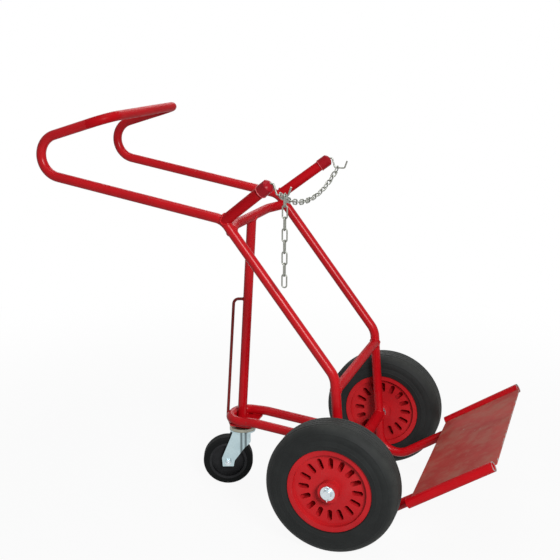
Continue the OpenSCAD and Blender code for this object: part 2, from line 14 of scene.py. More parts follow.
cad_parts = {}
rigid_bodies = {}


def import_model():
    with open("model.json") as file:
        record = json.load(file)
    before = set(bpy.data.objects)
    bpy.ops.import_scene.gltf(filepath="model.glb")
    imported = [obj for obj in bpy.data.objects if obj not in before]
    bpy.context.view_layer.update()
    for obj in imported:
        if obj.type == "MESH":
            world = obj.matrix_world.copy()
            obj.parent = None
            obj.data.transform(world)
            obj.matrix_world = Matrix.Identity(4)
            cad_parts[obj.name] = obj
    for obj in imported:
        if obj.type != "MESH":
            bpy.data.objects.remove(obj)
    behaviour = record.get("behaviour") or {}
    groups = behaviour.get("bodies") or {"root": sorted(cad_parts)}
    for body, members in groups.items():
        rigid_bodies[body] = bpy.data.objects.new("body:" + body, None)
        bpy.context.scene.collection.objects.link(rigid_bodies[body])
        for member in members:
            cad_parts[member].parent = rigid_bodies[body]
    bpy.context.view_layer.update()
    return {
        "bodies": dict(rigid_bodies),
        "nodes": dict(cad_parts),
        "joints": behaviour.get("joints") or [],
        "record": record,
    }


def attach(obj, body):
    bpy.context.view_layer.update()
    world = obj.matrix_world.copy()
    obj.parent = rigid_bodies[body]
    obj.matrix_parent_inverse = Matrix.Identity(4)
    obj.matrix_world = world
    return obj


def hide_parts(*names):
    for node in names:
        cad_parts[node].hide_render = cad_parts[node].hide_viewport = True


LOG = logging.getLogger("trolley")
Colour = tuple[float, float, float]
Spot = tuple[float, float, float]
Material = bpy.types.Material
Piece = bpy.types.Object


class Body(str, Enum):
    """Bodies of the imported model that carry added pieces."""

    FRAME = "frame"
    LEFT_WHEEL = "left_wheel"
    RIGHT_WHEEL = "right_wheel"
    YOKE = "caster_yoke"
    CASTER_WHEEL = "caster_wheel"


class Side(int, Enum):
    """Near and far side of the trolley, as the sign of Y."""

    LEFT = -1
    RIGHT = 1

    @property
    def word(self) -> str:
        """Name of the side as the nodes spell it."""
        return "left" if self is Side.LEFT else "right"


class Wire:
    """One shader value that takes part in Python arithmetic."""

    def __init__(self, graph: "Graph", socket: bpy.types.NodeSocket) -> None:
        """Keep the graph and an output socket of one of its nodes."""
        self.graph = graph
        self.socket = socket

    def __add__(self, other: Any) -> "Wire":
        """Sum."""
        return self.graph.math("ADD", self, other)

    __radd__ = __add__

    def __sub__(self, other: Any) -> "Wire":
        """Difference."""
        return self.graph.math("SUBTRACT", self, other)

    def __rsub__(self, other: Any) -> "Wire":
        """Difference with the value on the right."""
        return self.graph.math("SUBTRACT", other, self)

    def __mul__(self, other: Any) -> "Wire":
        """Product."""
        return self.graph.math("MULTIPLY", self, other)

    __rmul__ = __mul__

    def __abs__(self) -> "Wire":
        """Size without its sign."""
        return self.graph.math("ABSOLUTE", self, 0.0)


class Graph:
    """Node tree of one material, with a Principled shader at its end."""

    def __init__(self, name: str) -> None:
        """Make the material and its shader.

        Args:
            name: Name of the material.
        """
        self.material = bpy.data.materials.new(name)
        self.material.use_nodes = True
        self.tree = self.material.node_tree
        self.tree.nodes.clear()
        self.shader = self.add("ShaderNodeBsdfPrincipled", {}, {})
        self.end = self.add("ShaderNodeOutputMaterial", {}, {"Surface": self.shader.outputs[0]})

    def add(self, kind: str, settings: dict[str, Any], sockets: dict[Any, Any]) -> bpy.types.Node:
        """Add any node.

        Args:
            kind: Node type.
            settings: Properties that are set first.
            sockets: Input name or index to a value, a wire or a socket.

        Returns:
            The new node.
        """
        node = self.tree.nodes.new(kind)
        for key, value in settings.items():
            setattr(node, key, value)
        for key, value in sockets.items():
            self.feed(node.inputs[key], value)
        return node

    def feed(self, target: bpy.types.NodeSocket, value: Any) -> None:
        """Link or set one input.

        Args:
            target: Input socket.
            value: Wire, socket, number, colour or vector.
        """
        if isinstance(value, Wire):
            value = value.socket
        if isinstance(value, bpy.types.NodeSocket):
            self.tree.links.new(value, target)
        elif isinstance(value, tuple) and target.type == "RGBA":
            target.default_value = (*value[:3], 1.0)
        else:
            target.default_value = value

    def wire(self, kind: str, sockets: dict[Any, Any], out: str | int = 0, **settings: Any) -> Wire:
        """Add any node and return one of its outputs."""
        return Wire(self, self.add(kind, settings, sockets).outputs[out])

    def math(self, operation: str, first: Any, second: Any) -> Wire:
        """Math node on two values, each a wire or a number."""
        return self.wire("ShaderNodeMath", {0: first, 1: second}, operation=operation)

    def vector(self, operation: str, first: Any, second: Spot | Wire, out: str | int = 0) -> Wire:
        """Vector math node on two vectors."""
        return self.wire("ShaderNodeVectorMath", {0: first, 1: second}, out, operation=operation)

    def place(self) -> Wire:
        """Object coordinates in metres."""
        return self.wire("ShaderNodeTexCoord", {}, "Object")

    def along(self, point: Wire, start: Spot, way: Spot) -> Wire:
        """Distance of a point from a start, measured along a direction of length 1."""
        return self.vector("DOT_PRODUCT", self.vector("SUBTRACT", point, start), way, "Value")

    def reach(self, point: Wire, start: Spot) -> Wire:
        """Distance of a point from a start."""
        return self.vector("DISTANCE", point, start, "Value")

    def stretched(self, point: Wire, scale: Spot, turn: Spot) -> Wire:
        """Coordinates turned by angles in radians and then scaled, for streaks."""
        turned = self.wire("ShaderNodeMapping", {"Vector": point, "Rotation": turn})
        return self.wire("ShaderNodeMapping", {"Vector": turned, "Scale": scale})

    def noise(self, point: Wire, scale: float, detail: float = 3.0, rough: float = 0.55) -> Wire:
        """Cloud noise from 0 to 1, with its scale in waves to the metre."""
        return self.wire("ShaderNodeTexNoise",
                         {"Vector": point, "Scale": scale, "Detail": detail, "Roughness": rough})

    def cells(self, point: Wire, scale: float, out: str) -> Wire:
        """Distance to the nearest of scattered points, or the random colour of its cell."""
        return self.wire("ShaderNodeTexVoronoi", {"Vector": point, "Scale": scale}, out)

    def step(self, value: Wire, low: float, high: float) -> Wire:
        """Smooth step from 0 at low to 1 at high, which may lie the other way round."""
        return self.wire("ShaderNodeMapRange", {"Value": value, "From Min": low, "From Max": high},
                         interpolation_type="SMOOTHSTEP")

    def blend(self, mask: Any, first: Any, second: Any) -> Wire:
        """Mix of two colours, from the first at mask 0 to the second at 1."""
        return self.wire("ShaderNodeMix", {0: mask, 6: first, 7: second}, 2, data_type="RGBA")

    def relief(self, height: Wire, depth: float, strength: float) -> None:
        """Bump the surface by a height from 0 to 1, where 1 is a depth in metres."""
        sockets = {"Height": height, "Distance": depth, "Strength": strength}
        self.feed(self.shader.inputs["Normal"], self.wire("ShaderNodeBump", sockets))

    def finish(self, sockets: dict[str, Any]) -> Material:
        """Fill the shader's sockets.

        Args:
            sockets: Input name to a value or wire.

        Returns:
            The finished material.
        """
        for key, value in sockets.items():
            self.feed(self.shader.inputs[key], value)
        return self.material


@dataclass(frozen=True)
class Enamel:
    """Glossy sprayed enamel on steel, with orange peel, dust and small chips."""

    name: str
    body: Colour
    deep: Colour
    bare: Colour = (0.1, 0.06, 0.055)
    gloss: float = 0.2
    wear: float = 0.08
    coat: float = 0.11
    grime: float = 0.0
    soil: Colour = (0.34, 0.15, 0.11)
    worn_from: Spot | None = None
    worn_way: Spot = (1.0, 0.0, 0.0)
    worn_reach: float = 0.004
    fray: float = 0.008
    frayed: tuple[float, float] = (0.004, 0.006)
    coat_rough: float = 0.26
    coat_ior: float = 1.9
    sheen: float = 0.03

    def make(self) -> Material:
        """Build the material.

        Returns:
            The enamel.
        """
        g = Graph(self.name)
        p = g.place()
        cloud = g.noise(p, 9.0, 4.0)
        film = g.noise(p, 60.0, 3.0)
        colour = g.blend(g.step(cloud, 0.3, 0.72), self.body, self.deep)
        haze = g.step(g.noise(p, 24.0, 5.0, 0.65), 0.5, 0.82) * (0.05 + 0.6 * self.wear)
        colour = g.blend(haze, colour, tuple(0.7 * c + 0.05 for c in self.body))
        streak = g.noise(g.stretched(p, (30.0, 900.0, 30.0), (0.0, 0.0, 0.35)), 1.0, 2.0)
        scratch = g.step(streak, 0.69, 0.74) * g.step(film, 0.5, 0.66) * min(1.0, 1.6 * self.wear)
        spots = g.step(g.cells(p, 70.0, "Distance"), 0.17, 0.1)
        spots = spots * g.step(cloud, 0.52, 0.62) * g.step(film, 0.52, 0.6)
        bared: Wire | float = 0.0
        if self.worn_from is not None:
            past = g.along(p, self.worn_from, self.worn_way) + film * self.fray
            bared = g.step(past, *(limit - self.worn_reach for limit in self.frayed))
        chip = g.math("MAXIMUM", spots * min(1.0, 0.35 + 2.0 * self.wear), bared)
        dirt = g.step(g.noise(p, 15.0, 6.0, 0.7), 0.4, 0.68) * self.grime
        colour = g.blend(dirt, colour, self.soil)
        colour = g.blend(scratch * 0.5, colour, tuple(0.5 * c + 0.16 for c in self.body))
        colour = g.blend(chip, colour, self.bare)
        peel = g.noise(p, 420.0, 2.0)
        g.relief(peel * 0.12 + film * 0.2 - chip * 2.0, 0.00025, 0.2)
        rough = self.gloss + cloud * 0.08 + haze * 0.35 + chip * 0.35 + scratch * 0.2 + dirt * 0.2
        return g.finish({"Base Color": colour, "Roughness": rough, "Coat Weight": self.coat * (1 - chip),
                         "Coat Roughness": self.coat_rough, "Coat IOR": self.coat_ior,
                         "Specular IOR Level": self.sheen})


@dataclass(frozen=True)
class Zinc:
    """Zinc-plated steel with a faint spangle, handling marks, a passivation tint and flutes darkened with
    painted shade.
    """

    name: str
    body: Colour
    tint: Colour
    rough: float = 0.3
    spangle: float = 160.0
    flute_from: Spot = (0.0, 0.0, 0.0)
    flute_way: Spot = (1.0, 0.0, 0.0)
    flutes: tuple[float, ...] = ()
    flute_edge: tuple[float, float] = (0.005, 0.0012)

    def make(self) -> Material:
        """Build the material.

        Returns:
            The plated metal.
        """
        g = Graph(self.name)
        p = g.place()
        run = g.along(p, self.flute_from, self.flute_way)
        flute_and_shade = sum((g.step(abs(run - spot), *self.flute_edge) for spot in self.flutes), 0.0)
        cloud = g.noise(p, 26.0, 4.0)
        flake = g.wire("ShaderNodeSeparateColor", {0: g.cells(p, self.spangle, "Color")})
        dull = g.step(g.noise(p, 110.0, 4.0, 0.7), 0.5, 0.8)
        colour = g.blend(g.step(cloud, 0.35, 0.7) * 0.7, self.body, self.tint)
        colour = g.blend(flake * 0.22, colour, tuple(0.78 * c for c in self.body))
        colour = g.blend(dull * 0.3, colour, tuple(0.55 * c for c in self.body))
        # Flutes darkened in colour: painted shade in the creases, besides their bump.
        colour = g.blend(flute_and_shade, colour, tuple(0.3 * c for c in self.body))
        g.relief(g.noise(p, 700.0, 2.0) * 0.5 + flake * 0.4 - flute_and_shade * 6.0, 0.00015, 0.3)
        return g.finish({"Base Color": colour, "Metallic": 1.0 - dull * 0.12,
                         "Roughness": self.rough + flake * 0.08 + dull * 0.2 + cloud * 0.06})


@dataclass(frozen=True)
class Rubber:
    """Vulcanised rubber of a wheel, with a lighter tread band (floor dust and a painted highlight) and fine
    mould rings.
    """

    name: str
    hub: Spot
    axle: Spot
    radius: float
    body: Colour = (0.0112, 0.0124, 0.0122)
    dust: Colour = (0.052, 0.054, 0.05)
    sheen: float = 0.14
    tread: tuple[float, float] = (0.9, 0.985)
    ring_pitch: float = 2600.0

    def make(self) -> Material:
        """Build the material.

        Returns:
            The rubber.
        """
        g = Graph(self.name)
        p = g.place()
        along = g.along(p, self.hub, self.axle)
        length = g.reach(p, self.hub)
        reach = g.math("SQRT", length * length - along * along, 0.0)
        cloud = g.noise(p, 18.0, 5.0, 0.62)
        grit = g.noise(p, 240.0, 4.0, 0.7)
        tread = g.step(reach, *(self.radius * share for share in self.tread))
        # Lighter tread band: floor dust, and a painted highlight along the tread.
        dusty_and_lit = tread * (0.25 + 0.55 * g.step(cloud, 0.35, 0.7)) + g.step(grit, 0.58, 0.8) * 0.2
        colour = g.blend(g.step(cloud, 0.3, 0.75), self.body, tuple(1.5 * c for c in self.body))
        colour = g.blend(dusty_and_lit * 0.6, colour, self.dust)
        rings = g.math("SINE", reach * self.ring_pitch, 0.0) * (1 - tread) * 0.5
        g.relief(rings + grit * 0.7 + cloud * 0.4, 0.0002, 0.45)
        return g.finish({"Base Color": colour, "Roughness": 0.5 + 0.2 * cloud + dusty_and_lit * 0.2,
                         "Specular IOR Level": self.sheen})


@dataclass(frozen=True)
class Moulded:
    """Moulded plastic with a fine grain."""

    name: str
    body: Colour
    grain: float = 900.0
    rough: float = 0.45
    sheen: float = 0.15

    def make(self) -> Material:
        """Build the material.

        Returns:
            The plastic.
        """
        g = Graph(self.name)
        p = g.place()
        cloud = g.noise(p, 30.0, 4.0)
        grain = g.noise(p, self.grain, 3.0, 0.6)
        colour = g.blend(g.step(cloud, 0.35, 0.7) * 0.8, self.body, tuple(1.6 * c + 0.004 for c in self.body))
        g.relief(grain, 0.0002, 0.3)
        return g.finish({"Base Color": colour, "Roughness": self.rough + 0.15 * cloud,
                         "Specular IOR Level": self.sheen})


@dataclass(frozen=True)
class Sizes:
    """Driving sizes of the trolley in metres and degrees, as the solid model has them."""

    tube: float = 0.0125
    rail_y: float = 0.21
    knee: tuple[float, float] = (-0.0205, 0.414)
    recline: float = 37.9
    rail_len: float = 0.469
    cradle_drop: float = 0.035
    cradle_bow: float = 0.024
    cradle_share: float = 0.4
    lower_bar_z: float = 0.38
    toe_x: float = 0.378
    toe_z: float = 0.268
    toe_slope: float = 32.5
    toe_y: float = 0.276
    plate_lift: float = 0.001
    plate_t: float = 0.004
    grip_rise: float = 10.1
    grip_len: float = 0.458
    loop_r: float = 0.055
    arm: float = 0.014
    arm_drop: float = 0.004
    arm_splay: float = 15.0
    arm_len: float = 0.165
    cap_len: float = 0.024
    cap: float = 0.0164
    wheel_r: float = 0.165
    wheel_y: float = 0.28
    tyre_w: float = 0.092
    rim_r: float = 0.105
    rim_w: float = 0.08
    axle_tube: float = 0.015
    caster_x: float = -0.338
    loop_leg_y: float = 0.049
    loop_back: float = 0.0285
    loop_straight: float = 0.008
    loop_level: float = 0.053
    strut_back: float = 0.002
    pad_t: float = 0.005
    boss: float = 0.02
    loop_z: float = 0.198
    rod: float = 0.004
    rod_z: float = 0.527
    rod_rise: float = 0.004
    rod_back: float = 0.04
    caster_r: float = 0.0685
    trail: float = 0.04
    caster_turn: float = 20.0

    @property
    def crown(self) -> tuple[float, float]:
        """Corner of a rail and its grip, as X and Z from the axle."""
        a = math.radians(self.recline)
        return self.knee[0] - self.rail_len * math.sin(a), self.knee[1] + self.rail_len * math.cos(a)

    @property
    def shift(self) -> float:
        """X of the axle in the shared frame."""
        rise = math.radians(self.grip_rise)
        middle = self.crown[0] - self.grip_len * math.cos(rise) + self.loop_r * math.sin(rise)
        rear = middle - self.loop_r - self.tube
        front = self.toe_x + self.tube * math.sin(math.radians(self.toe_slope))
        return -(front + rear) / 2

    @property
    def plate_top(self) -> float:
        """Height of the caster plate's top."""
        return self.loop_z - self.tube

    def on_rail(self, drop: float) -> tuple[float, float]:
        """Point of a rail's axis at a distance below the crown, as X and Z from the axle."""
        a = math.radians(self.recline)
        return self.crown[0] + drop * math.sin(a), self.crown[1] - drop * math.cos(a)

    def arm_line(self, side: Side) -> tuple[Vector, Vector]:
        """Axis of an arm.

        Args:
            side: Side of the trolley.

        Returns:
            Its foot on the rail's axis and its direction.
        """
        a, splay = math.radians(self.recline), math.radians(self.arm_splay)
        x, z = self.on_rail(self.arm_drop)
        way = Vector((math.cos(splay) * math.cos(a), side * math.sin(splay), math.cos(splay) * math.sin(a)))
        return self.at(x, side * self.rail_y, z), way

    def at(self, x: float, y: float, z: float) -> Vector:
        """Point in the shared frame, from X ahead of the axle, Y across and Z up."""
        return Vector((x + self.shift, y, z))


@dataclass(frozen=True)
class Edge:
    """Node shown by a copy with rounded edges, and the copy's slot, finish and body."""

    node: str
    width: float
    slot: str = "zinc"
    finish: str = "zinc"
    body: Body = Body.FRAME


@dataclass(frozen=True)
class Weld:
    """One weld bead of a given radius, which runs round unless it is open."""

    name: str
    path: list[Vector]
    size: float
    closed: bool = True


@dataclass
class Workshop:
    """Operators that add, shape and finish a piece, with angles in degrees."""

    around: int = 8
    waves: tuple[tuple[float, float], ...] = ((0.16, 0.0042), (0.07, 0.0171))
    steep: float = 0.9
    taper: float = 2.0
    thin: float = 0.02
    merge: float = 0.000005
    flat_angle: float = 1.0
    flat_weight: int = 90
    bevel_angle: float = 32.0
    bevel_steps: int = 2
    soft_angle: float = 35.0

    def clear(self) -> None:
        """Leave edit mode and deselect everything."""
        if bpy.context.object is not None and bpy.context.object.mode != "OBJECT":
            self.mode("OBJECT")
        bpy.ops.object.select_all(action="DESELECT")

    def mode(self, name: str) -> None:
        """Switch the mode of the active object."""
        bpy.ops.object.mode_set(mode=name)

    def take(self, name: str) -> Piece:
        """Name the object that an operator just added.

        Args:
            name: Name of the piece.

        Returns:
            The object.
        """
        piece = bpy.context.object
        piece.name = piece.data.name = name
        return piece

    def settle(self, piece: Piece, body: Body, slot: str, finish: Material, angle: float) -> None:
        """Apply the piece's place, smooth it, dress it and let it ride.

        Args:
            piece: The piece.
            body: Body that carries it.
            slot: Material slot of the record; not used.
            finish: Its material.
            angle: Edge angle in degrees that stays sharp.
        """
        self.clear()
        piece.select_set(True)
        bpy.context.view_layer.objects.active = piece
        bpy.ops.object.transform_apply(location=True, rotation=True, scale=True)
        self.mode("EDIT")
        bpy.ops.mesh.select_all(action="SELECT")
        bpy.ops.mesh.normals_make_consistent(inside=False)
        self.mode("OBJECT")
        bpy.ops.object.shade_smooth_by_angle(angle=math.radians(angle))
        piece.data.materials.clear()
        piece.data.materials.append(finish)
        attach(piece, body.value)
        LOG.info("piece %s rides on %s", piece.name, body.value)

    def soften(self, frame: dict[str, Any], edge: Edge, finish: Material) -> None:
        """Copy a node, round the copy's edges and show it in the node's place.

        Args:
            frame: The loaded frame.
            edge: The node and how its edges are rounded.
            finish: Material of the copy.
        """
        name = edge.node
        self.clear()
        source = frame["nodes"][name]
        mesh = source.data.copy()
        mesh.transform(source.matrix_world)
        piece = bpy.data.objects.new(f"{name}_soft", mesh)
        bpy.context.scene.collection.objects.link(piece)
        piece.select_set(True)
        bpy.context.view_layer.objects.active = piece
        self.mode("EDIT")
        bpy.ops.mesh.select_all(action="SELECT")
        bpy.ops.mesh.remove_doubles(threshold=self.merge)
        bpy.ops.mesh.customdata_custom_splitnormals_clear()
        bpy.ops.mesh.dissolve_limited(angle_limit=math.radians(self.flat_angle))
        self.mode("OBJECT")
        bevel = piece.modifiers.new("edge", "BEVEL")
        bevel.width = edge.width
        bevel.segments = self.bevel_steps
        bevel.limit_method = "ANGLE"
        bevel.angle_limit = math.radians(self.bevel_angle)
        bevel.use_clamp_overlap = True
        bpy.ops.object.modifier_apply(modifier=bevel.name)
        self.settle(piece, edge.body, edge.slot, finish, self.soft_angle)
        flat = piece.modifiers.new("flat", "WEIGHTED_NORMAL")
        flat.mode = "FACE_AREA"
        flat.weight = self.flat_weight
        flat.keep_sharp = True
        bpy.ops.object.modifier_apply(modifier=flat.name)
        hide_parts(name)

    def bead(self, weld: Weld) -> Piece:
        """Weld bead, from a ring that is laid along its path and rippled.

        Args:
            weld: Path and size of the bead.

        Returns:
            The bead.
        """
        self.clear()
        around, count, closed = self.around, len(weld.path), weld.closed
        bpy.ops.mesh.primitive_torus_add(major_segments=count, minor_segments=around)
        piece = self.take(weld.name)
        points = np.array([tuple(p) for p in weld.path])
        if closed:
            ahead = np.roll(points, -1, 0) - np.roll(points, 1, 0)
        else:
            ahead = np.gradient(points, axis=0)
        ahead /= np.linalg.norm(ahead, axis=1)[:, None]
        out = points - points.mean(0)
        out -= (out * ahead).sum(1)[:, None] * ahead
        if not closed:
            steep = abs(ahead[0][2]) >= self.steep
            out = np.cross(ahead, (1.0, 0.0, 0.0) if steep else (0.0, 0.0, 1.0))
        out /= np.linalg.norm(out, axis=1)[:, None]
        up = np.cross(ahead, out)
        run = np.concatenate(([0.0], np.cumsum(np.linalg.norm(np.diff(points, axis=0), axis=1))))
        ripple = np.ones(count)
        for high, length in self.waves:
            ripple += high * np.sin(run / length * 2 * np.pi)
        if not closed:
            ends = np.minimum(np.arange(count), np.arange(count)[::-1])
            ripple *= np.clip(ends / self.taper, self.thin, 1.0)
        angle = (np.arange(around) / around * 2 * np.pi)[None, :, None]
        section = np.cos(angle) * out[:, None, :] + np.sin(angle) * up[:, None, :]
        spots = points[:, None, :] + weld.size * ripple[:, None, None] * section
        piece.data.vertices.foreach_set("co", spots.reshape(-1).astype(np.float32))
        piece.data.update()
        if not closed:
            self.mode("EDIT")
            bpy.ops.mesh.select_all(action="DESELECT")
            self.mode("OBJECT")
            for face in piece.data.polygons:
                face.select = {v // around for v in face.vertices} == {0, count - 1}
            self.mode("EDIT")
            bpy.ops.mesh.select_mode(type="FACE")
            bpy.ops.mesh.delete(type="ONLY_FACE")
            bpy.ops.mesh.select_mode(type="EDGE")
            bpy.ops.mesh.select_non_manifold()
            bpy.ops.mesh.edge_face_add()
            self.mode("OBJECT")
        return piece


def saddle(main: tuple[Vector, Vector], main_r: float, branch: tuple[Vector, Vector], branch_r: float,
           count: int = 72) -> list[Vector]:
    """Curve where a branch tube meets a main tube.

    Args:
        main: Point and direction of the main tube's axis.
        main_r: Radius of the main tube.
        branch: Point on the main axis and direction of the branch, away from the main tube.
        branch_r: Radius of the branch.
        count: Points around the curve.

    Returns:
        Points of the closed curve.
    """
    axis = main[1].normalized()
    way = branch[1].normalized()
    side = way.cross(axis).normalized()
    over = way.cross(side).normalized()
    points = []
    for start in ring(branch[0], side, over, branch_r, count):
        rel = start - main[0]
        rel_flat = rel - axis * rel.dot(axis)
        way_flat = way - axis * way.dot(axis)
        a = way_flat.length_squared
        b = rel_flat.dot(way_flat)
        c = rel_flat.length_squared - main_r * main_r
        root = math.sqrt(max(b * b - a * c, 0.0))
        points.append(start + way * ((root - b) / a))
    return points


def ring(centre: Vector, side: Vector, over: Vector, radius: float, count: int = 64) -> list[Vector]:
    """Circle of points in the plane of two directions."""
    turns = [2 * math.pi * k / count for k in range(count)]
    return [centre + radius * (math.cos(turn) * side + math.sin(turn) * over) for turn in turns]


def bell(off: float, width: float) -> float:
    """Height of a bell curve whose middle is 1."""
    return math.exp(-((off / width) ** 2))


def stitch(name: str, start: Vector, run: Vector, size: float, count: int = 24) -> Weld:
    """Open weld along a straight run."""
    return Weld(name, [start.lerp(start + run, k / (count - 1)) for k in range(count)], size, False)


def make_finishes(s: Sizes) -> dict[str, Material]:
    """Every finish of the trolley, made once.

    Args:
        s: Sizes of the trolley.

    Returns:
        Key of each finish to its material.
    """
    turn = math.radians(s.caster_turn)
    red: Colour = (0.44, 0.0037, 0.0078)
    deep: Colour = (0.37, 0.0027, 0.006)
    caster = s.at(s.caster_x - s.trail * math.cos(turn), -s.trail * math.sin(turn), s.caster_r)
    slope = math.radians(s.toe_slope)
    worn: dict[str, Any] = {"worn_from": tuple(s.at(s.toe_x, 0.0, s.toe_z)),
                            "worn_way": (math.cos(slope), 0.0, math.sin(slope))}
    recipes: dict[str, Any] = {
        "frame": Enamel("frame_enamel", red, deep),
        # Darker red than the frame enamel: painted shade on the arms, cradle and bars; less coat and more
        # wear for rubbed paint.
        "rubbed": Enamel("worn_and_shaded_enamel", (0.4, 0.0036, 0.0074), (0.34, 0.0027, 0.0058), gloss=0.42,
                         wear=0.16, coat=0.025),
        "plate": Enamel("toe_plate_enamel", (0.38, 0.05, 0.04), (0.31, 0.035, 0.03), (0.34, 0.3, 0.28),
                        gloss=0.5, wear=0.6, coat=0.015, grime=0.6, worn_reach=-0.0042, **worn),
        "toe_tube": Enamel("toe_tube_enamel", red, deep, (0.3, 0.29, 0.28), coat=0.06,
                           worn_reach=0.0022, **worn),
        "cap": Enamel("cap_enamel", (0.31, 0.0065, 0.013), (0.25, 0.005, 0.01), wear=0.2, coat=0.05),
        # Paler pink than the cap: a painted highlight, the glint along each cap's mouth.
        "lip": Enamel("cap_lip_glint_enamel", (0.5, 0.05, 0.06), (0.42, 0.03, 0.04), wear=0.2, coat=0.3),
        "rod": Enamel("hose_rod_enamel", (0.2, 0.02, 0.018), (0.12, 0.014, 0.013), gloss=0.35, wear=0.5,
                      coat=0.04),
        "rim": Enamel("rim_enamel", (0.5, 0.016, 0.02), (0.4, 0.012, 0.016), gloss=0.28, wear=0.3, coat=0.06),
        "zinc": Zinc("bright_zinc", (0.66, 0.72, 0.75), (0.56, 0.65, 0.69)),
        "fork": Zinc("fork_zinc", (0.5, 0.63, 0.66), (0.4, 0.53, 0.57), 0.26, 120.0,
                     tuple(s.at(s.caster_x, 0.0, 0.0)), (math.cos(turn), math.sin(turn), 0.0),
                     (-0.0035, 0.0085)),
        "head": Zinc("head_zinc", (0.36, 0.36, 0.3), (0.28, 0.26, 0.18), 0.36),
        "chain": Zinc("chain_zinc", (0.27, 0.28, 0.25), (0.2, 0.21, 0.18), 0.3, 260.0),
        # Caster rubber darker than the tyres' rubber: painted shade on the caster.
        "caster_rubber": Rubber("caster_rubber", tuple(caster), (-math.sin(turn), math.cos(turn), 0.0),
                                s.caster_r, (0.006, 0.0066, 0.0066), (0.02, 0.02, 0.0195), 0.06),
        "caster_hub": Moulded("caster_hub_plastic", (0.011, 0.0115, 0.0125)),
        "bush": Moulded("bush_nylon", (0.05, 0.05, 0.055)),
    }
    for side in Side:
        recipes[f"{side.word}_rubber"] = Rubber(
            f"{side.word}_tyre_rubber", tuple(s.at(0.0, side * s.wheel_y, s.wheel_r)), (0.0, 1.0, 0.0),
            s.wheel_r)
    return {key: recipe.make() for key, recipe in recipes.items()}


@dataclass
class Assembly:
    """Group of pieces, with tables of its nodes' finishes and rounded edges."""

    sizes: Sizes
    shop: Workshop
    made: dict[str, Material]

    def coats(self) -> dict[str, tuple[str, ...]]:
        """Nodes that wear each finish."""
        return {}

    def edges(self) -> list[Edge]:
        """Nodes that are shown with rounded edges."""
        return []

    def dress(self, frame: dict[str, Any]) -> None:
        """Give the nodes of the solid model their finishes.

        Args:
            frame: The loaded frame.
        """
        for key, names in self.coats().items():
            finish = self.made[key]
            for name in names:
                node = frame["nodes"][name]
                if not node.material_slots:
                    node.data.materials.append(finish)
                for slot in node.material_slots:
                    slot.material = finish
                LOG.info("node %s wears %s", name, finish.name)

    def soften(self, frame: dict[str, Any]) -> None:
        """Round the edges."""
        for edge in self.edges():
            self.shop.soften(frame, edge, self.made[edge.finish])

    def build(self) -> None:
        """Add new pieces, of which a plain group has none."""


